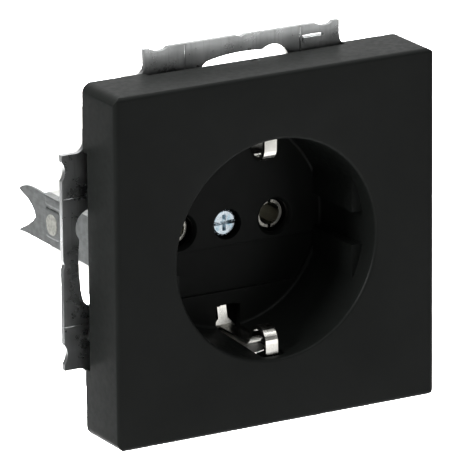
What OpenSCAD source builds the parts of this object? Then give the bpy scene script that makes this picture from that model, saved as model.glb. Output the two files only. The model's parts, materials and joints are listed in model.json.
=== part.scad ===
// Earthed two-pin wall socket insert with a square centre plate.
// X runs to the right, Y runs back into the wall, Z runs up.
// The origin is the centre of the support ring's rear face, which lies on the wall.

/* [Centre plate] */
// Width and height of the centre plate
plate_w = 63; // [60:0.5:64]
// Depth of the plate's skirt, front face to back edge
plate_d = 11.5; // [9:0.5:13]
// Thickness of the plate's skirt and front panel
plate_t = 2; // [1.6:0.1:2.4]
// Rounding of the plate's outer edges
plate_round = 1; // [0.6:0.1:1.6]

/* [Plug well] */
// Radius of the well at its mouth
well_r = 19.6; // [19.2:0.1:19.8]
// Radius of the well at its floor
well_floor_r = 18.8; // [18.5:0.1:19]
// Depth of the well, front face to floor
well_d = 17.5; // [17:0.1:18]
// Thickness of the well's wall
well_t = 1.1; // [1:0.1:1.2]
// Distance of each flat guide from the centre line
guide_x = 17.1; // [16.8:0.1:17.6]
// Width of the groove between a side's two guides
guide_gap = 6; // [4:0.5:8]

/* [Contacts] */
// Distance between the two pin holes
pin_spacing = 19; // [19:1:19]
// Radius of each pin hole
pin_hole_r = 2.95; // [2.7:0.05:3]
// Outer radius of a contact tube
tube_r = 2.5; // [2.4:0.05:2.6]
// Wall of a contact tube
tube_t = 0.5; // [0.4:0.05:0.6]
// Width of an earth clip
clip_w = 2.4; // [2:0.1:2.6]
// Thickness of the earth bow's strip
clip_t = 0.7; // [0.5:0.1:0.8]

/* [Support ring] */
// Overall width and height of the ring
ring_w = 71; // [70:0.5:72]
// Thickness of the ring's sheet
ring_t = 1; // [0.8:0.1:1]
// Width of each of the ring's four flanges
flange_w = 38.4; // [36:0.2:40]
// Radius on which the fixing slots lie
slot_pcd_r = 30.4; // [30:0.1:30.6]
// Width of a fixing slot
slot_w = 4.3; // [4:0.1:4.4]
// Radius of the keyhole at a slot's end
keyhole_r = 3.2; // [3:0.1:3.3]

/* [Base] */
// Outer radius of the moulded base
base_r = 22.2; // [22:0.1:22.4]
// Depth of the base behind the wall plane
base_d = 32.3; // [32:0.1:33]
// Radius of a wire entry hole
wire_r = 1.8; // [1.6:0.1:1.9]

/* [Claws] */
// Distance of a claw's outer face from the centre line
claw_x = 26.6; // [26.6:0.1:26.8]
// Thickness of the claw's sheet
claw_t = 0.7; // [0.6:0.05:0.7]
// Swing of a claw when its screw is tight, in degrees
claw_swing = 16; // [10:1:16]
// Travel of a claw nut along its screw
nut_travel = 10; // [8:0.5:10]

/* [Hidden] */
eps = 0.01;
$fn = 64;

// Planes along Y
ring_front = -ring_t;
plate_back = ring_front - 0.15;
front = plate_back - plate_d;
panel_back = front + plate_t;
floor_y = front + well_d;
floor_t = 1.5;
floor_back = floor_y + floor_t;
bow_y = floor_back + 0.85;
disc_y = bow_y + clip_t + 0.1;
disc_t = 1.4;
ledge_y = disc_y + disc_t;
rear_wall_y = base_d - 2.5;

// Well
well_out_floor_r = well_floor_r + well_t;
rim_round = 0.6;
guide_start = front + 4;
window_half = 2.4;
window_z = 14.75;
apex_z = 14.55;
skirt_notch = 1.5;
toe_r = 0.6;
band_top = -3.8;
band_bottom = -12.1;
band_depth = 0.8;

// Screws
bore_gap = 0.02;
cover_screw_r = 1.5;
cover_head_r = 2.35;
cover_head_y = floor_y + 1.2;
cover_head_h = 1.5;
boss_r = 4.2;
boss_end = cover_head_y + cover_head_h + 1.4;

// Base
well_clear_r = 20.6;
cavity_r = 18.4;
flat_x = 21.4;
nut_pocket_x = 20.2;
nut_pocket_y = 9.7;
claw_bay = 6.7;
pocket_half = 7.2;
pocket_in = 10.6;
ear_at = 17.5;
ear_r = 3.4;
ear_end = 5;
seat_r = 28.6;
seat_d = 0.15;
ring_bore_r = base_r + 0.2;
rivet_r = 1.5;
disc_screw_at = 13;
bush_r = 2.6;
bush_y = 13.5;
bush_h = 8;

// Terminals, drawn on the +X side and turned about Y
term_x = 14.6;
wire_z = 4.4;
bus_x = 12.1;
bus_half = 5.2;
bus_end = 28.5;
side_angles = [180, 0, 90];
release_w = 3.2;
release_half = 1.9;
release_front = 24.6;
release_proud = 0.6;
release_gap = 0.2;

// Claws, drawn on the -X side and turned about Y for the +X side
claw_screw_x = 23.5;
claw_screw_r = 1.5;
claw_head_r = 2.5;
claw_head_h = 2.1;
pivot = [-26.2, 2.4];
pin_r = 0.8;
claw_top = 5.1;
claw_bottom = -3.75;
knuckle_r = 1.5;
nut_y = 20;
nut_len = 3.4;
nut_half = 2.7;
ear_x = 24.9;
cam_gap = 0.12;
stud_at = [19.4, 0.3];
stud_r = 1.95;
lug_t = 0.8;
lug_gap = 0.3;

// Shapes -----------------------------------------------------------------

// A shape drawn in X and Z, filled from y0 back to y1
module slab(y0, y1) {
    translate([0, y1, 0]) rotate([90, 0, 0]) linear_extrude(y1 - y0) children();
}

// A shape drawn in Y and Z, filled from x0 to x1
module side_slab(x0, x1) {
    translate([x0, 0, 0]) rotate([90, 0, 90]) linear_extrude(x1 - x0) children();
}

// A round bar along Y
module rod(r, y0, y1, x = 0, z = 0, fn = 64) {
    translate([x, y0, z]) rotate([-90, 0, 0]) cylinder(r = r, h = y1 - y0, $fn = fn);
}

// A cone along Y
module cone(r0, r1, y0, y1, x = 0, z = 0) {
    translate([x, y0, z]) rotate([-90, 0, 0]) cylinder(r1 = r0, r2 = r1, h = y1 - y0, $fn = 96);
}

// A block given by its lowest and highest corners
module block(low, high) {
    translate(low) cube(high - low);
}

// A profile of radius and height, turned about the Y axis
module turned() {
    rotate([-90, 0, 0]) rotate_extrude($fn = 128) children();
}

// A flat strip of thickness t that follows a path, with round joints
module ribbon(path, t) {
    for (i = [0 : len(path) - 2]) {
        a = path[i];
        run = path[i + 1] - a;
        translate(a) rotate(atan2(run.y, run.x)) translate([0, -t / 2]) square([norm(run), t]);
        if (i > 0) translate(a) circle(d = t, $fn = 24);
    }
}

// Points along an arc
function arc(centre, r, from, to, steps) =
    [for (i = [0 : steps]) centre + r * [cos(from + (to - from) * i / steps),
                                         sin(from + (to - from) * i / steps)]];

// A quarter turn's corner, filled between two edges that meet at a point
module corner_fill(at, r, sx, sz) {
    translate(at) scale([sx, sz]) difference() {
        square(r);
        translate([r, r]) circle(r, $fn = 32);
    }
}

// Centre plate -------------------------------------------------------------

module round_square(w, r) {
    for (t = [-1, 1]) {
        square([w, w - 2 * r], center = true);
        square([w - 2 * r, w], center = true);
        for (u = [-1, 1]) translate([t, u] * (w / 2 - r)) circle(r, $fn = 32);
    }
}

// Section across the plate: square at the back, rounded at the front
module plate_section() {
    half = plate_w / 2;
    polygon(concat([[half, plate_back], [-half, plate_back]],
        arc([-half + plate_round, front + plate_round], plate_round, 180, 270, 8),
        arc([half - plate_round, front + plate_round], plate_round, 270, 360, 8)));
}

module plate_block() {
    intersection() {
        slab(front, plate_back) round_square(plate_w, plate_round * 1.8);
        translate([0, 0, -plate_w / 2]) linear_extrude(plate_w) plate_section();
        rotate([0, 90, 0]) translate([0, 0, -plate_w / 2]) linear_extrude(plate_w) plate_section();
    }
}

// The well's inside, with a rounded mouth and foot
module well_space() {
    translate([0, front, 0]) turned() polygon(concat([[0, -1], [well_r + rim_round, -1]],
        arc([well_r + rim_round, rim_round], rim_round, 270, 180, 6),
        arc([well_floor_r - toe_r, well_d - toe_r], toe_r, 0, 75, 5),
        [[well_floor_r - toe_r, well_d + eps], [0, well_d + eps]]));
}

module clip_windows() {
    for (s = [-1, 1]) scale([1, 1, s]) {
        block([-window_half, front + plate_t * 0.75, window_z], [window_half, floor_back + 1, 22]);
        block([-clip_w / 2 - 0.3, floor_y - 1, apex_z], [clip_w / 2 + 0.3, floor_back + 1, 22]);
    }
}

module cover_plate() {
    cavity = plate_w / 2 - plate_t;
    color("#222322") difference() {
        union() {
            difference() {
                plate_block();
                block([-cavity, panel_back, -cavity], [cavity, plate_back + 1, cavity]);
            }
            difference() {
                union() {
                    cone(well_r + well_t, well_out_floor_r, front + plate_round, floor_y);
                    plate_ribs();
                }
                well_space();
            }
            guides();
        }
        well_mouth();
        clip_windows();
        skirt_notches();
        block([0.3, -3.65, plate_w / 2 - 0.4], [1.4, -2.95, plate_w / 2 + 1]);
    }
}

// Long shallow notches in the skirt's back edge, one over each flange of the ring
module skirt_notches() {
    for (a = [0 : 90 : 270]) rotate([0, a, 0])
        block([-flange_w / 2 - 0.2, plate_back - skirt_notch, plate_w / 2 - plate_t - 1],
            [flange_w / 2 + 0.2, plate_back + 1, plate_w / 2 + 1]);
}

// The well's floor, joined to its wall, with the pin holes and the screw's boss
module well_floor() {
    color("#222322") difference() {
        union() {
            rod(well_out_floor_r, floor_y, floor_back, fn = 128);
            rod(boss_r, floor_y, boss_end);
        }
        for (s = [-1, 1]) {
            rod(pin_hole_r, floor_y - 1, floor_back + 1, s * pin_spacing / 2);
            cone(pin_hole_r + 0.5, pin_hole_r, floor_y - eps, floor_y + 0.5, s * pin_spacing / 2);
        }
        clip_windows();
        label_band();
        rod(cover_head_r + 0.35, floor_y - 1, cover_head_y + cover_head_h);
        rod(cover_screw_r + 0.15, floor_y, boss_end + 1);
    }
}

// Opens the front panel over the well
module well_mouth() {
    intersection() {
        well_space();
        rod(well_r + 2, front - 2, panel_back + eps, fn = 96);
    }
}

// Flat guides on both sides of the well, each split by a groove
module guides() {
    for (s = [-1, 1], t = [-1, 1]) scale([s, 1, t]) intersection() {
        block([guide_x, guide_start, guide_gap / 2], [well_r + 0.6, floor_y, 12]);
        cone(well_r + 0.5, well_floor_r + 0.5, front, floor_y);
    }
}

// Shallow recess across the floor
module label_band() {
    intersection() {
        block([-20, floor_y - 1, band_bottom], [20, floor_y + band_depth, band_top]);
        rod(well_floor_r - toe_r, floor_y - 1, floor_back, fn = 96);
    }
}

// Stiffening ribs between the well and the skirt
module plate_ribs() {
    for (a = [30 : 60 : 330]) rotate([0, a, 0])
        block([well_r + 0.4, panel_back - eps, -0.5], [plate_w / 2 - 1, panel_back + 4, 0.5]);
}

// A screw head with a cross and a slot cut into it
module screw_head(r, y, h, slot_w, slot_deep) {
    difference() {
        union() {
            rod(r, y + 0.3, y + h, fn = 48);
            cone(r - 0.3, r, y, y + 0.3);
        }
        for (a = [0, 90]) rotate([0, a, 0])
            block([-r * 0.62, y - 1, -slot_w / 2], [r * 0.62, y + slot_deep, slot_w / 2]);
        block([-r - 1, y - 1, -slot_w / 2], [r + 1, y + slot_deep * 0.6, slot_w / 2]);
    }
}

module cover_screw() {
    color("#b9c6cf") {
        screw_head(cover_head_r, cover_head_y, cover_head_h, 0.7, 0.9);
        rod(cover_screw_r, cover_head_y + cover_head_h - eps, bush_y + bush_h - 1);
    }
}

// Support ring ---------------------------------------------------------------

function clock(t) = [sin(t), cos(t)];

// One fixing slot: an arc with a keyhole at its clockwise end
module fixing_slot() {
    from = -11.8;
    to = 11.2;
    intersection() {
        difference() {
            circle(slot_pcd_r + slot_w / 2, $fn = 128);
            circle(slot_pcd_r - slot_w / 2, $fn = 128);
        }
        polygon(concat([[0, 0]], [for (i = [0 : 4]) 40 * clock(from + (to - from) * i / 4)]));
    }
    translate(slot_pcd_r * clock(from)) circle(slot_w / 2, $fn = 32);
    translate(slot_pcd_r * clock(to)) circle(keyhole_r, $fn = 48);
}

module ring_outline() {
    body = 62;
    intersection() {
        square(body, center = true);
        rotate(45) square(body * sqrt(2) - 11.4, center = true);
    }
    for (a = [0, 90]) rotate(a) square([flange_w, ring_w], center = true);
    for (a = [0 : 90 : 270], s = [-1, 1]) rotate(a)
        corner_fill([s * flange_w / 2, body / 2], 1.8, s, 1);
}

module ring_cuts() {
    half = ring_w / 2;
    circle(ring_bore_r, $fn = 128);
    for (a = [0 : 90 : 270]) rotate(-a) {
        fixing_slot();
        for (s = [-1, 1]) translate([s * 16.3, half + 2.25]) circle(2.85, $fn = 48);
        translate([-0.3, half]) polygon([[-1, 0.1], [1, 0.1], [0, -0.35]]);
    }
    for (s = [-1, 1]) {
        translate([s * claw_screw_x, 0]) circle(claw_screw_r + 0.25, $fn = 48);
        translate([s * (claw_screw_x - 1.5), 0]) square([3, 2 * claw_screw_r + 0.5], center = true);
        for (t = [-1, 1]) translate([s, t] * ear_at) circle(rivet_r + bore_gap, $fn = 48);
    }
}

// Shallow scored lines across each flange
module crease_lines() {
    for (a = [0 : 90 : 270], s = [-1, 1]) rotate([0, a, 0])
        block([s * 11.4 - 0.15, ring_front - 1, 30.5], [s * 11.4 + 0.15, ring_front + 0.12, ring_w]);
}

// Two lugs bent back from the ring, which hold a claw's pin
module claw_lugs() {
    for (z = [claw_bottom - lug_gap - lug_t, claw_top + lug_gap])
        translate([pivot.x, 0, z]) linear_extrude(lug_t) difference() {
            union() {
                polygon([[-0.8, -seat_d - eps], [1.3, -seat_d - eps], [1.3, pivot.y],
                    [-1.3, pivot.y], [-1.3, 0.5], [-0.8, 0.1]]);
                translate([0, pivot.y]) circle(1.3, $fn = 48);
            }
            translate([0, pivot.y]) circle(pin_r + bore_gap, $fn = 48);
        }
}

module support_ring() {
    color("#9ea2a2") {
        difference() {
            slab(ring_front, 0) difference() {
                ring_outline();
                ring_cuts();
            }
            crease_lines();
            for (a = [0 : 90 : 270]) rotate([0, -a, 0])
                rod(0.7, ring_front - 1, ring_front + 0.45, -13.8, 30.9, 32);
            rod(seat_r, -seat_d, 1, fn = 128);
            block([11.9, ring_front - 1, 33.3], [16.1, 1, 33.7]);
        }
        block([11.9, ring_front - 0.35, 32.4], [16.1, ring_front + eps, 33.3]);
        for (a = [0, 180]) rotate([0, a, 0]) claw_lugs();
    }
}

module ring_rivets() {
    color("#a8abab") for (s = [-1, 1], t = [-1, 1]) {
        rod(rivet_r, ring_front - 0.1, ear_end + 0.1, s * ear_at, t * ear_at, 48);
        cone(1.9, 2.6, ring_front - 0.8, ring_front, s * ear_at, t * ear_at);
        cone(2.2, 1.7, ear_end, ear_end + 0.8, s * ear_at, t * ear_at);
    }
}

// Base ---------------------------------------------------------------------

module base_shell() {
    corner = 1.6;
    turned() polygon(concat([[0, ring_front + 0.1], [base_r, ring_front + 0.1]],
        arc([base_r - corner, base_d - corner], corner, 0, 90, 8), [[0, base_d]]));
}

// Chambers: four for terminals, two for contact tubes, one for the earth bow
module base_chambers() {
    intersection() {
        union() {
            for (a = [0 : 90 : 270]) rotate([0, a, 0])
                block([pocket_in, ledge_y - 1, -pocket_half], [20, rear_wall_y, pocket_half]);
            for (a = [0, 180]) rotate([0, a, 0])
                block([5.8, ledge_y - 1, -4], [pocket_in + eps, 20, 4]);
            block([-4, ledge_y - 1, -17], [4, bow_y + 4.7, 17]);
        }
        rod(cavity_r, ledge_y - 1, rear_wall_y, fn = 96);
    }
}

// Wire entries and the window of a release button, for one terminal
module terminal_openings() {
    for (t = [-1, 1]) {
        rod(wire_r, rear_wall_y - 1, base_d + 1, term_x, t * wire_z, 48);
        cone(wire_r, wire_r + 0.6, base_d - 0.6, base_d + eps, term_x, t * wire_z);
    }
    block([term_x - release_w / 2 - release_gap, rear_wall_y - 1, -release_half - release_gap],
        [term_x + release_w / 2 + release_gap, base_d + 1, release_half + release_gap]);
}

// Bay beside the base for one claw, its screw and its nut
module claw_bay_cut() {
    block([-base_r - 1, -1, -claw_bay], [-flat_x, base_d + 1, claw_bay]);
    block([-base_r - 1, nut_pocket_y, -claw_bay], [-nut_pocket_x, base_d + 1, claw_bay]);
}

module base_body() {
    color("#efece0") difference() {
        union() {
            base_shell();
            for (s = [-1, 1], t = [-1, 1]) rod(ear_r, bore_gap - seat_d, ear_end, s * ear_at, t * ear_at, 48);
        }
        rod(well_clear_r, -1, ledge_y, fn = 128);
        base_chambers();
        for (a = [0, 180]) rotate([0, a, 0]) claw_bay_cut();
        for (a = side_angles) rotate([0, a, 0]) terminal_openings();
        for (s = [-1, 1], t = [-1, 1])
            rod(rivet_r + bore_gap, -1, ear_end + 1, s * ear_at, t * ear_at, 48);
        for (s = [-1, 1]) rod(1.02, ledge_y - 1, ledge_y + 7, s * disc_screw_at, disc_screw_at, 32);
        rod(bush_r + bore_gap, bow_y, bush_y + bush_h + 0.5, fn = 48);
        rod(cover_screw_r + 0.3, bush_y, bush_y + bush_h + 4, fn = 48);
        for (s = [-1, 1]) base_side_groove(s);
    }
}

// Shallow grooves moulded along the top and bottom of the base
module base_side_groove(s) {
    for (x = [-9, 9])
        block([x - 3, 12, s * 20.5 - 1.5], [x + 3, base_d - 4, s * 20.5 + 1.5]);
}

// Black insulating disc over the contacts
module contact_cover() {
    color("#1d1e1e") difference() {
        rod(well_clear_r - 0.2, disc_y, ledge_y, fn = 128);
        for (s = [-1, 1]) {
            rod(tube_r + 0.3, disc_y - 1, ledge_y + 1, s * pin_spacing / 2, 0, 48);
            rod(1.2, disc_y - 1, ledge_y + 1, s * disc_screw_at, disc_screw_at, 32);
            scale([1, 1, s]) block([-clip_w / 2 - 0.3, disc_y - 1, apex_z], [clip_w / 2 + 0.3, ledge_y + 1, 22]);
        }
        rod(boss_r + 0.3, disc_y - 1, ledge_y + 1);
    }
}

module contact_cover_screws() {
    color("#c9ced0") for (s = [-1, 1]) translate([s * disc_screw_at, 0, disc_screw_at]) {
        screw_head(1.8, disc_y - 1, 0.98, 0.5, 0.5);
        rod(1, disc_y - 0.1, ledge_y + 6, fn = 32);
    }
}

module threaded_bush() {
    color("#c9a85a") difference() {
        rod(bush_r, bush_y, bush_y + bush_h, fn = 48);
        rod(cover_screw_r + bore_gap, bush_y - 1, bush_y + bush_h + 1, fn = 48);
    }
}

// Earth bow ------------------------------------------------------------------

// Path of one clip in Y and Z, from its free end to the strap's rear bend
clip_path = concat([[front + 2.5, 19.5]],
    arc([front + 4.98, 17.6], 2.43, 180, 350, 12),
    [[front + 8.6, 18.7], [front + 9.2, 19]],
    [[bow_y + clip_t / 2, 19], [bow_y + clip_t / 2, 18.8]]);

module half_bow() {
    side_slab(-clip_w / 2, clip_w / 2) ribbon(clip_path, clip_t);
    slab(bow_y, bow_y + clip_t)
        polygon([[-2.45, 19.35], [2.45, 19.35], [2.45, 18.9], [0.9, 17.6], [0.9, 15.4],
                 [-0.9, 15.4], [-0.9, 17.6], [-2.45, 18.9]]);
    block([-0.9, bow_y, 15.4], [0.9, bow_y + 3.7, 16.1]);
}

module earth_bow() {
    strip_y = bow_y + 3;
    color("#c9c8c0") {
        for (s = [-1, 1]) scale([1, 1, s]) half_bow();
        difference() {
            block([-3.4, strip_y, -16.1], [3.4, strip_y + clip_t, 16.1]);
            rod(2, strip_y - 1, strip_y + 2, fn = 48);
        }
        block([-bus_half, strip_y, -bus_x - 0.8], [bus_half, strip_y + clip_t, -bus_x + eps]);
        block([-bus_half, strip_y + clip_t - eps, -bus_x - 0.8], [bus_half, bus_end, -bus_x]);
    }
}

// Line contacts --------------------------------------------------------------

module contact_tube() {
    mouth = floor_back + 0.5;
    tube_end = 18;
    color("#b9b8ae") {
        difference() {
            rod(tube_r, mouth, tube_end, pin_spacing / 2);
            rod(tube_r - tube_t, mouth - 1, tube_end - 0.8, pin_spacing / 2);
            block([pin_spacing / 2 - 0.3, mouth - 1, -4], [pin_spacing / 2 + 0.3, 15, 4]);
        }
        block([pin_spacing / 2, tube_end - 0.8, -2], [bus_x + 0.8, tube_end, 2]);
        block([bus_x, tube_end - 0.8, -bus_half], [bus_x + 0.8, bus_end, bus_half]);
    }
}

// Open steel ring that keeps the tube closed
module contact_spring() {
    color("#8f9496") difference() {
        rod(tube_r + 0.42, 10.6, 13.6, pin_spacing / 2, 0, 48);
        rod(tube_r + bore_gap, 9, 15, pin_spacing / 2, 0, 48);
        block([pin_spacing / 2 + 1, 9, -0.5], [pin_spacing / 2 + 5, 15, 0.5]);
    }
}

// Bent leaf that holds a wire against the contact's rear plate
module clamp_spring() {
    t = 0.4;
    path = concat([[17.3, 28.4]], arc([16.5, 19.8], 0.8, 0, -150, 6), [[13.3, 22.1]]);
    color("#a4a9ab") translate([0, 0, -5]) linear_extrude(10) ribbon(path, t);
}

// Release button with a shoulder behind the rear wall
module release_button() {
    half = release_w / 2;
    color("#e2782f") {
        block([term_x - half, release_front, -release_half],
            [term_x + half, base_d + release_proud, release_half]);
        block([term_x - half, rear_wall_y - 2.2, -release_half - 0.5],
            [term_x + half + 0.5, rear_wall_y - 0.3, release_half + 0.5]);
    }
}

// Claws ---------------------------------------------------------------------

// Where the nut's corner touches the claw's cheek after a share of its travel
function cam_point(share) =
    let (swing = claw_swing * share,
         reach = [-ear_x - pivot.x, nut_y - nut_travel * share - pivot.y])
    pivot + [reach.x * cos(swing) + reach.y * sin(swing) - cam_gap,
             reach.y * cos(swing) - reach.x * sin(swing)];

cam_steps = 8;
cam_edge = [for (i = [0 : cam_steps]) cam_point(i / cam_steps)];

// A cheek folded in from the claw's plate, with the cam edge on its inside
module cheek() {
    last = cam_edge[cam_steps];
    polygon(concat([[-claw_x, 3.6], [-claw_x, 23.4], [-ear_x - cam_gap, 23.4]], cam_edge,
        [[last.x, 7], [-24.9, 4.2], [-25.4, 3.6]]));
}

// Side view of the claw's plate, with its forked end
module claw_side() {
    polygon([[3.2, claw_bottom], [29.2, claw_bottom], [32.3, -3.95], [30.9, -3.1], [28.6, -2],
        [26.8, -0.8], [25.9, 0.1], [26.3, 1.1], [27.4, 2], [28.9, 2.85], [30.7, 3.3], [32.1, 3.75],
        [30.7, 4.6], [28.8, 5.1], [26, 5.2], [23.4, claw_top], [3.2, claw_top]]);
}

module claw() {
    color("#8e9496") {
        difference() {
            side_slab(-claw_x, -claw_x + claw_t) difference() {
                claw_side();
                translate([17.2, 2.6]) square([4.6, 0.4]);
                translate(stud_at) circle(1 + bore_gap, $fn = 32);
                translate([3, -1.9]) square([3.2, 3.8]);
            }
        }
        for (z = [claw_bottom, claw_top - claw_t])
            translate([0, 0, z]) linear_extrude(claw_t) cheek();
        for (z = [[claw_bottom, -1.9], [1.9, claw_top]]) difference() {
            union() {
                translate([pivot.x, pivot.y, z[0]]) cylinder(r = knuckle_r, h = z[1] - z[0], $fn = 48);
                block([-claw_x, pivot.y, z[0]], [-claw_x + claw_t, 4.4, z[1]]);
            }
            translate([pivot.x, pivot.y, z[0] - 1])
                cylinder(r = pin_r + 0.05, h = z[1] - z[0] + 2, $fn = 48);
        }
    }
}

// Staked stud in the claw's plate
module claw_stud() {
    color("#a9a9a0") translate([0, stud_at.x, stud_at.y]) rotate([0, 90, 0]) {
        translate([0, 0, -claw_x - 0.45]) cylinder(r1 = stud_r - 0.25, r2 = stud_r, h = 0.45, $fn = 32);
        translate([0, 0, -claw_x - 0.1]) cylinder(r = 1, h = claw_t + 0.1, $fn = 32);
    }
}

// Nut with two ears that bear on the claw's cheeks
module claw_nut() {
    color("#b4b7b5") difference() {
        union() {
            block([-25.7, nut_y, -nut_half], [-20.6, nut_y + nut_len, nut_half]);
            block([-ear_x, nut_y, claw_bottom + 0.1], [-22.6, nut_y + nut_len, claw_top - 0.1]);
        }
        rod(claw_screw_r + bore_gap, nut_y - 1, nut_y + nut_len + 1, -claw_screw_x, 0, 48);
    }
}

module claw_screw() {
    color("#c9ced0") translate([-claw_screw_x, 0, 0]) {
        screw_head(claw_head_r, ring_front - 0.05 - claw_head_h, claw_head_h, 0.8, 1.1);
        rod(claw_screw_r, ring_front - 0.1, 24.2, fn = 48);
    }
}

module claw_pins() {
    low = claw_bottom - lug_gap - lug_t - 0.1;
    high = claw_top + lug_gap + lug_t + 0.1;
    color("#9a9fa0") for (a = [0, 180]) rotate([0, a, 0])
        translate([pivot.x, pivot.y, low]) cylinder(r = pin_r, h = high - low, $fn = 48);
}

cover_plate();
well_floor();
cover_screw();
support_ring();
ring_rivets();
base_body();
contact_cover();
contact_cover_screws();
threaded_bush();
earth_bow();
rotate([0, 180, 0]) contact_tube();  // contact_left
contact_tube();  // contact_right
rotate([0, 180, 0]) contact_spring();  // contact_spring_left
contact_spring();  // contact_spring_right
rotate([0, 180, 0]) clamp_spring();  // clamp_spring_left
clamp_spring();  // clamp_spring_right
rotate([0, 90, 0]) clamp_spring();  // clamp_spring_earth
rotate([0, 180, 0]) release_button();  // release_left
release_button();  // release_right
rotate([0, 90, 0]) release_button();  // release_earth
claw();  // claw_left
rotate([0, 180, 0]) claw();  // claw_right
claw_stud();  // claw_stud_left
rotate([0, 180, 0]) claw_stud();  // claw_stud_right
claw_nut();  // claw_nut_left
rotate([0, 180, 0]) claw_nut();  // claw_nut_right
claw_screw();  // claw_screw_left
rotate([0, 180, 0]) claw_screw();  // claw_screw_right
claw_pins();
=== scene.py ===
"""Looks of an earthed wall socket insert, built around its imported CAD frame.

X runs right, Y runs back into the wall, Z runs up; everything is in metres.
"""

import json
import math

import bmesh
import bpy
from mathutils import Matrix, Vector


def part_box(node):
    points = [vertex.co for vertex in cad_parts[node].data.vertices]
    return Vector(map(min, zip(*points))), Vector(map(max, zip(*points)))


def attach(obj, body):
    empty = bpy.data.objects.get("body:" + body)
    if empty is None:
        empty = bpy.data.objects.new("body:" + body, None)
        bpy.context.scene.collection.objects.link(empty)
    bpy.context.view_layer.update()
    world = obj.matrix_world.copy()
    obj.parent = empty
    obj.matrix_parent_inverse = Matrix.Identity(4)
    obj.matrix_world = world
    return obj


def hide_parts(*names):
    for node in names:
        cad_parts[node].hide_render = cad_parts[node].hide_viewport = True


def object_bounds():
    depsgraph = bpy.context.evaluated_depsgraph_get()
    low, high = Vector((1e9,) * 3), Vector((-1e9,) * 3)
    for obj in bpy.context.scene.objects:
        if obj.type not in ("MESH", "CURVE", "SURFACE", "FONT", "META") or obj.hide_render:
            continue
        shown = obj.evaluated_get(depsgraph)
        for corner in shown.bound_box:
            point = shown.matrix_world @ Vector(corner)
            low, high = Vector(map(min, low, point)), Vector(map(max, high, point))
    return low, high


MM = 0.001

# Sizes of details, in millimetres
STUD_HEAD = 0.45  # height of a claw stud's head over its plate
STRIP_Z = 4.3  # height of the raised strip above a claw's stud
BOW_FRONT = 7.2  # front of the earth bow's tongues along Y
TONGUE_ROOT = 15.4  # where a tongue starts, from the centre line
TONGUE_LEAN = 0.2  # how far a tongue leans forward per millimetre of its length
RING_FRONT = -1.0  # front face of the support ring along Y
CREASE_X = 11.4  # distance of a flange's scored lines from its middle
CREASE_START = 30.6  # where a scored line starts, from the centre of the ring
SCREW_SHANK_R = 1.5  # radius of the cover screw and the claw screws

# Camera: it looks from the front, from the left and from slightly above
CAMERA_AZIMUTH = -29.44
CAMERA_ELEVATION = 17.02
CAMERA_ROLL = -0.48
CAMERA_DISTANCE = 1.1424
CAMERA_TARGET = (-0.01027, -0.01265, 0.00428)
CAMERA_LENS = 512.9

FLOOR_DROP = 0.25
ROOM_LIGHT = 0.12
BACKDROP_SIDE = (0.55, 0.83, 0.05)  # direction in which the backdrop is brightest
BACKDROP_LIGHT = 1.0

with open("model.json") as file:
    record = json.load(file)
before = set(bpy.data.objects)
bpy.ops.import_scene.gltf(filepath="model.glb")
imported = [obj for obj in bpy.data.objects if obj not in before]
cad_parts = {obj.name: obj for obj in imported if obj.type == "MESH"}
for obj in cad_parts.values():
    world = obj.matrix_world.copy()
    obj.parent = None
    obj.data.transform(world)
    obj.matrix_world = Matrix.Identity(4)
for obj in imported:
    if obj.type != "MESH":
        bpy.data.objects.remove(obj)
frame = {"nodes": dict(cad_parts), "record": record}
cad_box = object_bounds()
nodes = frame["nodes"]
node_body = {node: body for body, members in frame["record"]["behaviour"]["bodies"].items()
             for node in members}


# Materials ------------------------------------------------------------------


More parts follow.
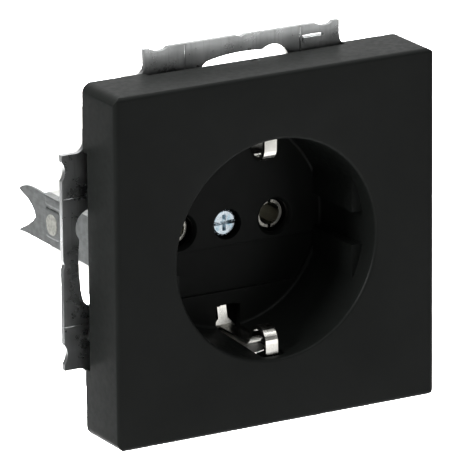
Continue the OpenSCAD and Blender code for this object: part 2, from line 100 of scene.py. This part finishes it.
class Shader:
    """A node material with a Principled surface and short calls for its textures."""

    def __init__(self, name, colour, metallic, roughness, **inputs):
        self.material = bpy.data.materials.new(name)
        self.material.use_nodes = True
        self.tree = self.material.node_tree
        self.bsdf = self.tree.nodes["Principled BSDF"]
        self.colour = colour
        self.bsdf.inputs["Base Color"].default_value = (*colour, 1)
        self.bsdf.inputs["Metallic"].default_value = metallic
        self.bsdf.inputs["Roughness"].default_value = roughness
        for key, value in inputs.items():
            self.bsdf.inputs[key.replace("_", " ")].default_value = value
        self.height = None

    def node(self, kind, **settings):
        made = self.tree.nodes.new(kind)
        for key, value in settings.items():
            setattr(made, key, value)
        return made

    def link(self, source, target):
        self.tree.links.new(source, target)

    def place(self, stretch=(1, 1, 1), turn=(0, 0, 0)):
        """Object coordinates, stretched so that a small number draws a texture out."""
        coords = self.node("ShaderNodeTexCoord")
        mapping = self.node("ShaderNodeMapping")
        mapping.inputs["Scale"].default_value = stretch
        mapping.inputs["Rotation"].default_value = turn
        self.link(coords.outputs["Object"], mapping.inputs["Vector"])
        return mapping.outputs["Vector"]

    def noise(self, scale, detail=2, roughness=0.5, stretch=(1, 1, 1), turn=(0, 0, 0)):
        made = self.node("ShaderNodeTexNoise")
        made.inputs["Scale"].default_value = scale
        made.inputs["Detail"].default_value = detail
        made.inputs["Roughness"].default_value = roughness
        self.link(self.place(stretch, turn), made.inputs["Vector"])
        return made.outputs["Fac"]

    def cells(self, scale, stretch=(1, 1, 1)):
        made = self.node("ShaderNodeTexVoronoi")
        made.inputs["Scale"].default_value = scale
        self.link(self.place(stretch), made.inputs["Vector"])
        return made

    def spread(self, value, low, high, start=0.3, end=0.7):
        """Maps a texture value onto the range low to high."""
        made = self.node("ShaderNodeMapRange")
        for socket, number in (("From Min", start), ("From Max", end),
                               ("To Min", low), ("To Max", high)):
            made.inputs[socket].default_value = number
        self.link(value, made.inputs["Value"])
        return made.outputs["Result"]

    def vary_roughness(self, value, low, high, start=0.3, end=0.7):
        self.link(self.spread(value, low, high, start, end), self.bsdf.inputs["Roughness"])

    def vary_colour(self, value, low, high, start=0.3, end=0.7):
        """Scales the base colour between low and high."""
        mix = self.node("ShaderNodeMix", data_type="RGBA")
        mix.inputs[6].default_value = (*(c * low for c in self.colour), 1)
        mix.inputs[7].default_value = (*(min(1, c * high) for c in self.colour), 1)
        self.link(self.spread(value, 0, 1, start, end), mix.inputs[0])
        self.link(mix.outputs[2], self.bsdf.inputs["Base Color"])
        return mix

    def tint(self, mix, value, colour, start=0.5, end=0.8):
        """Lays a second colour over the first where value is high."""
        over = self.node("ShaderNodeMix", data_type="RGBA")
        self.link(self.spread(value, 0, 1, start, end), over.inputs[0])
        self.link(mix.outputs[2], over.inputs[6])
        over.inputs[7].default_value = (*colour, 1)
        self.link(over.outputs[2], self.bsdf.inputs["Base Color"])
        return over

    def bump(self, value, depth_mm, strength=1.0):
        made = self.node("ShaderNodeBump")
        made.inputs["Strength"].default_value = strength
        made.inputs["Distance"].default_value = depth_mm * MM
        self.link(value, made.inputs["Height"])
        if self.height:
            self.link(self.height, made.inputs["Normal"])
        self.height = made.outputs["Normal"]
        self.link(self.height, self.bsdf.inputs["Normal"])


def matt_plastic(name, colour, rough=(0.40, 0.52), grain=0.02):
    """Moulded plastic with a fine spark-eroded grain."""
    shader = Shader(name, colour, 0, 0.45, IOR=1.21)
    shader.vary_roughness(shader.noise(900, 4), *rough)
    shader.vary_colour(shader.noise(140, 3), 0.9, 1.1)
    shader.bump(shader.noise(5200, 3), grain, 0.35)
    return shader.material


def thermoset(name, colour):
    """Cream pressed thermoset with a soft gloss and faint flow marks."""
    shader = Shader(name, colour, 0, 0.3, Coat_Weight=0.15, Coat_Roughness=0.15)
    mix = shader.vary_colour(shader.noise(90, 4, stretch=(1, 0.4, 1)), 0.94, 1.03)
    shader.tint(mix, shader.noise(900, 2), tuple(c * 0.8 for c in colour), 0.66, 0.8)
    shader.vary_roughness(shader.noise(260, 3), 0.24, 0.38)
    shader.bump(shader.noise(700, 3), 0.015, 0.4)
    return shader.material


def sheet_steel(name, colour, rough=(0.26, 0.44), stretch=(1, 1, 1), spangle=260):
    """Galvanised sheet: spangle patches, rolling lines and dull stains."""
    shader = Shader(name, colour, 1, 0.35)
    cells = shader.cells(spangle)
    mix = shader.vary_colour(cells.outputs["Distance"], 0.78, 1.12, 0.1, 0.7)
    shader.tint(mix, shader.noise(420, 5, 0.6, stretch), tuple(c * 0.8 for c in colour), 0.5, 0.75)
    shader.vary_roughness(shader.noise(420, 5, 0.6), *rough)
    shader.bump(shader.noise(2600, 3, stretch=stretch), 0.012, 0.5)
    shader.bump(shader.noise(600, 3, stretch=stretch), 0.015, 0.25)
    return shader.material


def plated_metal(name, colour, rough=(0.16, 0.3), lines=(1, 0.06, 1), grain=0.006):
    """Plated strip or turned metal with fine drawing lines."""
    shader = Shader(name, colour, 1, 0.25)
    shader.vary_colour(shader.noise(500, 3), 0.88, 1.06)
    shader.vary_roughness(shader.noise(700, 4, stretch=lines), *rough)
    shader.bump(shader.noise(4200, 2, stretch=lines), grain, 0.5)
    return shader.material


def blue_zinc(name, colour):
    """Bright zinc with a bluish passivation that varies over the surface."""
    shader = Shader(name, colour, 1, 0.22)
    mix = shader.vary_colour(shader.noise(600, 3), 0.8, 1.1)
    shader.tint(mix, shader.noise(900, 2), (0.36, 0.55, 0.66), 0.48, 0.7)
    shader.vary_roughness(shader.noise(1500, 3), 0.14, 0.34)
    shader.bump(shader.noise(3500, 3), 0.01, 0.5)
    return shader.material


materials = {
    "black": matt_plastic("black_plastic", (0.0075, 0.0085, 0.0078)),
    "insulator": matt_plastic("black_insulator", (0.010, 0.010, 0.0105), (0.5, 0.62)),
    "cream": thermoset("cream_thermoset", (0.84, 0.83, 0.78)),
    "ring": sheet_steel("galvanised_ring", (0.50, 0.51, 0.51), (0.24, 0.36), (6, 1, 0.35)),
    "claw": sheet_steel("galvanised_claw", (0.22, 0.23, 0.23), (0.36, 0.52), (1, 1, 5),
                        spangle=700),
    "stud": sheet_steel("staked_stud", (0.50, 0.50, 0.46), (0.35, 0.6), spangle=1800),
    "zinc": plated_metal("zinc_plate", (0.66, 0.67, 0.67), (0.24, 0.4), (1, 1, 1)),
    "nickel": plated_metal("nickel_strip", (0.80, 0.79, 0.74), (0.14, 0.26)),
    "bronze": plated_metal("nickel_bronze", (0.62, 0.61, 0.55), (0.2, 0.34)),
    "spring": plated_metal("spring_steel", (0.42, 0.43, 0.44), (0.25, 0.4)),
    "brass": plated_metal("turned_brass", (0.80, 0.60, 0.30), (0.18, 0.3), (1, 1, 1)),
    "blue_zinc": blue_zinc("blue_zinc", (0.66, 0.74, 0.80)),
    "orange": matt_plastic("orange_button", (0.70, 0.19, 0.035), (0.35, 0.48)),
}

NODE_MATERIALS = {
    "cover_plate": "black", "well_floor": "black", "cover_screw": "blue_zinc",
    "support_ring": "ring", "ring_rivets": "zinc", "base_body": "cream", "contact_cover": "insulator",
    "contact_cover_screws": "zinc", "threaded_bush": "brass", "earth_bow": "nickel",
    "contact_left": "bronze", "contact_right": "bronze",
    "contact_spring_left": "spring", "contact_spring_right": "spring",
    "clamp_spring_left": "spring", "clamp_spring_right": "spring",
    "clamp_spring_earth": "spring", "release_left": "orange", "release_right": "orange",
    "release_earth": "orange", "claw_left": "claw", "claw_right": "claw",
    "claw_stud_left": "stud", "claw_stud_right": "stud", "claw_nut_left": "zinc",
    "claw_nut_right": "zinc", "claw_screw_left": "zinc", "claw_screw_right": "zinc",
    "claw_pins": "spring",
}


def set_material(piece, key):
    """Gives a piece one of the materials above as its only one."""
    piece.data.materials.clear()
    piece.data.materials.append(materials[key])


for name, key in NODE_MATERIALS.items():
    set_material(nodes[name], key)


# Pieces with rounded edges ---------------------------------------------------


def softened(node, width_mm, segments=2, angle=32):
    """A copy of a CAD node with its sharp edges rounded; the node itself is hidden."""
    mesh = nodes[node].data.copy()
    piece = bpy.data.objects.new(node + "_soft", mesh)
    bpy.context.scene.collection.objects.link(piece)
    shape = bmesh.new()
    shape.from_mesh(mesh)
    bmesh.ops.remove_doubles(shape, verts=shape.verts, dist=2e-6)
    bmesh.ops.dissolve_limit(shape, angle_limit=math.radians(1.0), verts=shape.verts,
                             edges=shape.edges)
    shape.to_mesh(mesh)
    shape.free()
    mesh.polygons.foreach_set("use_smooth", [True] * len(mesh.polygons))
    if "custom_normal" in mesh.attributes:
        mesh.attributes.remove(mesh.attributes["custom_normal"])
    bevel = piece.modifiers.new("edges", "BEVEL")
    bevel.width = width_mm * MM
    bevel.segments = segments
    bevel.limit_method = "ANGLE"
    bevel.angle_limit = math.radians(angle)
    bevel.harden_normals = True
    bevel.use_clamp_overlap = True
    set_material(piece, NODE_MATERIALS[node])
    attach(piece, node_body[node])
    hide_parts(node)
    return piece


# Width of the rounding on each softened node's edges, in millimetres
SOFT_EDGES = {"cover_plate": 0.15, "well_floor": 0.26, "support_ring": 0.1, "base_body": 0.18,
              "earth_bow": 0.07, "claw_left": 0.09, "claw_right": 0.09, "contact_cover": 0.12,
              "release_left": 0.12, "release_right": 0.12, "release_earth": 0.12,
              "claw_nut_left": 0.1, "claw_nut_right": 0.1}
for name, width in SOFT_EDGES.items():
    softened(name, width)


# Screw details ----------------------------------------------------------------


def mesh_piece(name, shape, key, body, smooth=True):
    """Turns a bmesh into a piece that rides on a body."""
    mesh = bpy.data.meshes.new(name)
    bmesh.ops.recalc_face_normals(shape, faces=shape.faces)
    shape.to_mesh(mesh)
    shape.free()
    mesh.polygons.foreach_set("use_smooth", [smooth] * len(mesh.polygons))
    piece = bpy.data.objects.new(name, mesh)
    bpy.context.scene.collection.objects.link(piece)
    set_material(piece, key)
    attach(piece, body)
    return piece


def serrated_rim(name, centre, front, inner, outer, deep, teeth, key, node):
    """Radial teeth pressed into the rim of a screw head that faces the room."""
    shape = bmesh.new()
    steps = teeth * 4
    rings = []
    for step in range(steps):
        angle = 2 * math.pi * step / steps
        crest = (0.0, 0.5, 1.0, 0.5)[step % 4]
        row = []
        for share, height in ((0, 0.15), (0.25, crest), (0.85, crest * 0.9), (1, 0.1)):
            radius = (inner + (outer - inner) * share) * MM
            depth = (front + deep * (1 - height)) * MM
            row.append(shape.verts.new((centre[0] + radius * math.cos(angle), depth,
                                        centre[1] + radius * math.sin(angle))))
        for radius in (outer, inner):
            row.append(shape.verts.new((centre[0] + radius * MM * math.cos(angle),
                                        (front + deep + 0.1) * MM,
                                        centre[1] + radius * MM * math.sin(angle))))
        rings.append(row)
    for step in range(steps):
        here, there = rings[step], rings[(step + 1) % steps]
        for i in range(6):
            j = (i + 1) % 6
            shape.faces.new((here[i], here[j], there[j], there[i]))
    return mesh_piece(name, shape, key, node_body[node], smooth=False)


def thread(name, centre, start, end, root, crest, pitch, key, node):
    """One helical ridge around a shank that runs along Y."""
    shape = bmesh.new()
    per_turn = 24
    count = int((end - start) / pitch * per_turn)
    rows = []
    for step in range(count + 1):
        angle = 2 * math.pi * step / per_turn
        y = start + pitch * step / per_turn
        fade = min(1, step / per_turn, (count - step) / per_turn)
        top = root - 0.04 + (crest - root + 0.04) * fade
        rows.append([shape.verts.new((centre[0] + r * MM * math.cos(angle), (y + dy) * MM,
                                      centre[1] + r * MM * math.sin(angle)))
                     for r, dy in ((root - 0.05, -0.3 * pitch), (top, -0.06 * pitch),
                                   (top, 0.06 * pitch), (root - 0.05, 0.3 * pitch))])
    for here, there in zip(rows, rows[1:]):
        for i in range(4):
            j = (i + 1) % 4
            shape.faces.new((here[i], here[j], there[j], there[i]))
    for row in (rows[0], rows[-1]):
        shape.faces.new(row)
    return mesh_piece(name, shape, key, node_body[node])


def screw_details():
    """Teeth and threads, placed from the screws' own boxes."""
    low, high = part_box("cover_screw")
    front = low[1] / MM
    serrated_rim("cover_screw_teeth", (0, 0), front, 1.6, 2.3, 0.22, 18, "blue_zinc",
                 "cover_screw")
    thread("cover_screw_thread", (0, 0), front + 4, high[1] / MM - 0.4, SCREW_SHANK_R, 1.6, 0.7,
           "blue_zinc", "cover_screw")
    for node in ("claw_screw_left", "claw_screw_right"):
        low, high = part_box(node)
        centre = ((low[0] + high[0]) / 2, (low[2] + high[2]) / 2)
        thread(node + "_thread", centre, low[1] / MM + 4, high[1] / MM - 0.4, SCREW_SHANK_R,
               1.62, 0.6, "zinc", node)


screw_details()


# Claw details -------------------------------------------------------------------


def rounded_plate(shape, centre, half, corner, x_out, x_in, steps=6):
    """A raised pad in Y and Z with round corners and a sloping edge."""
    rows = []
    for grow, x in ((0.25, x_in), (0.25, x_in * 0.4 + x_out * 0.6), (0.0, x_out)):
        row = []
        for quarter, (sy, sz) in enumerate(((1, 1), (-1, 1), (-1, -1), (1, -1))):
            for i in range(steps + 1):
                angle = math.pi / 2 * (quarter + i / steps)
                y = centre[0] + sy * (half[0] - corner) + (corner + grow) * math.cos(angle)
                z = centre[1] + sz * (half[1] - corner) + (corner + grow) * math.sin(angle)
                row.append(shape.verts.new((x * MM, y * MM, z * MM)))
        rows.append(row)
    for here, there in zip(rows, rows[1:]):
        for i in range(len(here)):
            j = (i + 1) % len(here)
            shape.faces.new((here[i], here[j], there[j], there[i]))
    shape.faces.new(rows[-1])
    shape.faces.new(list(reversed(rows[0])))


def repeatable(seed):
    """A small repeatable random source between 0 and 1."""
    state = [seed]

    def draw():
        state[0] = (1103515245 * state[0] + 12345) % 2147483648
        return state[0] / 2147483648
    return draw


def stud_disc(shape, centre, radius, x_out, x_in, seed):
    """A stud's staked face: a flat disc with small hammered dents."""
    random = repeatable(seed)
    count, rings = 36, (1.0, 0.97, 0.8, 0.55, 0.3)
    rows = []
    for k, share in enumerate(rings):
        row = []
        for i in range(count):
            angle = 2 * math.pi * i / count
            dent = 0 if k < 2 else (random() - 0.5) * 0.16
            x = x_in if k == 0 else x_out + 0.1 * math.copysign(1, x_in - x_out) * (1 + dent * 4)
            wobble = radius * share * (1 + (0.02 * math.sin(5 * angle) if k else 0))
            row.append(shape.verts.new((x * MM, (centre[0] + wobble * math.cos(angle)) * MM,
                                        (centre[1] + wobble * math.sin(angle)) * MM)))
        rows.append(row)
    for here, there in zip(rows, rows[1:]):
        for i in range(count):
            j = (i + 1) % count
            shape.faces.new((here[i], here[j], there[j], there[i]))
    shape.faces.new(rows[-1])
    shape.faces.new(list(reversed(rows[0])))


def claw_details(side, sign):
    """The pad, the raised strip and the staked stud on one claw's outer face."""
    node = "claw_stud_" + side
    low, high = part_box(node)
    face = low[0] if sign < 0 else high[0]
    skin = face / MM - sign * STUD_HEAD
    centre = ((low[1] + high[1]) / 2 / MM, (low[2] + high[2]) / 2 / MM)
    radius = (high[1] - low[1]) / 2 / MM
    pad = bmesh.new()
    rounded_plate(pad, centre, (2.5, 2.35), 0.7, skin + sign * 0.16, skin - sign * 0.05)
    rounded_plate(pad, (centre[0] - 0.3, STRIP_Z), (2.6, 0.6), 0.2, skin + sign * 0.14,
                  skin - sign * 0.05)
    mesh_piece("claw_pad_" + side, pad, "claw", "claw_" + side, smooth=False)
    disc = bmesh.new()
    stud_disc(disc, centre, radius, face / MM - sign * 0.05, skin, 7)
    piece = mesh_piece("claw_stud_face_" + side, disc, "stud", "claw_" + side, smooth=False)
    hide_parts(node)


claw_details("left", -1)
claw_details("right", 1)


# Earth bow details ----------------------------------------------------------------


def bow_tongues():
    """Skins over the earth bow's flared tongues that lean a little towards the room."""
    outline = [(-2.3, 19.2), (2.3, 19.2), (2.3, 18.9), (0.9, 17.6), (0.9, TONGUE_ROOT),
               (-0.9, TONGUE_ROOT), (-0.9, 17.6), (-2.3, 18.9)]
    shape = bmesh.new()
    for side in (-1, 1):
        rows = []
        for lean, base in ((TONGUE_LEAN, BOW_FRONT - 0.03), (0, BOW_FRONT + 0.1)):
            rows.append([shape.verts.new((x * MM, (base - lean * (z - TONGUE_ROOT)) * MM,
                                          side * z * MM)) for x, z in outline])
        for i in range(len(outline)):
            j = (i + 1) % len(outline)
            shape.faces.new((rows[0][i], rows[0][j], rows[1][j], rows[1][i]))
        for row in rows:
            shape.faces.new(row)
    mesh_piece("bow_tongues", shape, "nickel", node_body["earth_bow"], smooth=False)


bow_tongues()


# Ring details -------------------------------------------------------------------


def burr_line(shape, start, end, front, width, proud):
    """A low ridge between two points of the ring's front face, given in X and Z."""
    run = (end - start).normalized()
    across = Vector((-run.y, run.x))
    rows = []
    for point in (start, end):
        rows.append([shape.verts.new((point.x * MM + across.x * u * width * MM,
                                      (front - v * proud) * MM,
                                      point.y * MM + across.y * u * width * MM))
                     for u, v in ((-1, -0.6), (-0.7, 0.6), (0, 1), (0.7, 0.6), (1, -0.6))])
    for i in range(5):
        j = (i + 1) % 5
        shape.faces.new((rows[0][i], rows[0][j], rows[1][j], rows[1][i]))
    for row in rows:
        shape.faces.new(row)


def crease_burrs():
    """Bright burrs thrown up along the scored lines of the four flanges."""
    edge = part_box("support_ring")[1][2] / MM
    shape = bmesh.new()
    for quarter in range(4):
        turn = Matrix.Rotation(quarter * math.pi / 2, 2)
        for x in (-CREASE_X, CREASE_X):
            burr_line(shape, turn @ Vector((x, CREASE_START)), turn @ Vector((x, edge - 0.2)),
                      RING_FRONT, 0.07, 0.06)
    mesh_piece("crease_burrs", shape, "zinc", node_body["support_ring"])


crease_burrs()


# Stage, light and camera ------------------------------------------------------


def stage_floor():
    """A plain pale floor, well below the object as it hangs on its wall."""
    low, _ = cad_box
    bpy.ops.mesh.primitive_plane_add(size=14, location=(0, 0, low[2] - FLOOR_DROP))
    floor = bpy.context.object
    floor.name = "studio_floor"
    shader = Shader("studio_floor", (0.95, 0.95, 0.95), 0, 0.9)
    shader.vary_roughness(shader.noise(3), 0.85, 0.95)
    floor.data.materials.append(shader.material)


def area_light(name, place, target, size, power, spread=180):
    """A rectangular lamp aimed at a target; spread is its cone in degrees."""
    lamp = bpy.data.lights.new(name, "AREA")
    lamp.shape = "RECTANGLE"
    lamp.size, lamp.size_y = size
    lamp.energy = power
    lamp.spread = math.radians(spread)
    holder = bpy.data.objects.new(name, lamp)
    bpy.context.scene.collection.objects.link(holder)
    holder.location = place
    aim = Vector(target) - Vector(place)
    holder.rotation_euler = aim.to_track_quat("-Z", "Y").to_euler()


def studio():
    """A bright backdrop behind and to the right, a dark room in front, soft boxes around."""
    world = bpy.data.worlds.new("studio")
    bpy.context.scene.world = world
    world.use_nodes = True
    tree = world.node_tree
    background = tree.nodes["Background"]
    background.inputs["Color"].default_value = (1, 1, 1, 1)
    coords = tree.nodes.new("ShaderNodeTexCoord")
    towards = tree.nodes.new("ShaderNodeVectorMath")
    towards.operation = "DOT_PRODUCT"
    towards.inputs[1].default_value = BACKDROP_SIDE
    tree.links.new(coords.outputs["Generated"], towards.inputs[0])
    ramp = tree.nodes.new("ShaderNodeMapRange")
    ramp.interpolation_type = "SMOOTHSTEP"
    for socket, number in (("From Min", 0.4), ("From Max", 0.95), ("To Min", ROOM_LIGHT),
                           ("To Max", BACKDROP_LIGHT)):
        ramp.inputs[socket].default_value = number
    tree.links.new(towards.outputs["Value"], ramp.inputs["Value"])
    tree.links.new(ramp.outputs["Result"], background.inputs["Strength"])
    bpy.context.scene.view_settings.view_transform = "Standard"
    area_light("top_box", (0.1, 0.45, 1.1), (0, 0.1, 0), (0.9, 0.6), 3.2, 60)
    area_light("floor_light", (0.75, 1.2, 1.2), (0.42, 0.8, -0.28), (0.5, 0.5), 18, 50)
    area_light("key", (0.1, -0.6, 1.0), (0, 0, 0), (1.5, 0.45), 5.5)
    area_light("front_glow", (0.58, -1.02, -0.02), (0, 0, 0), (0.5, 0.6), 1.3)
    area_light("base_light", (-1.1, -0.1, 0.5), (0, 0.02, 0), (0.4, 0.4), 1.5, 50)


def camera():
    """The camera, turned and rolled to the constants above."""
    azimuth = math.radians(CAMERA_AZIMUTH)
    elevation = math.radians(CAMERA_ELEVATION)
    roll = math.radians(CAMERA_ROLL)
    back = Vector((math.sin(azimuth) * math.cos(elevation),
                   -math.cos(azimuth) * math.cos(elevation), math.sin(elevation)))
    right = Vector((math.cos(azimuth), math.sin(azimuth), 0))
    up = back.cross(right)
    right, up = (right * math.cos(roll) + up * math.sin(roll),
                 up * math.cos(roll) - right * math.sin(roll))
    lens = bpy.data.cameras.new("camera")
    lens.lens = CAMERA_LENS
    lens.clip_start = 0.05
    lens.clip_end = 30
    holder = bpy.data.objects.new("camera", lens)
    bpy.context.scene.collection.objects.link(holder)
    turn = Matrix((right, up, back)).transposed().to_4x4()
    holder.matrix_world = Matrix.Translation(
        Vector(CAMERA_TARGET) + back * CAMERA_DISTANCE) @ turn
    bpy.context.scene.camera = holder


stage_floor()
studio()
camera()
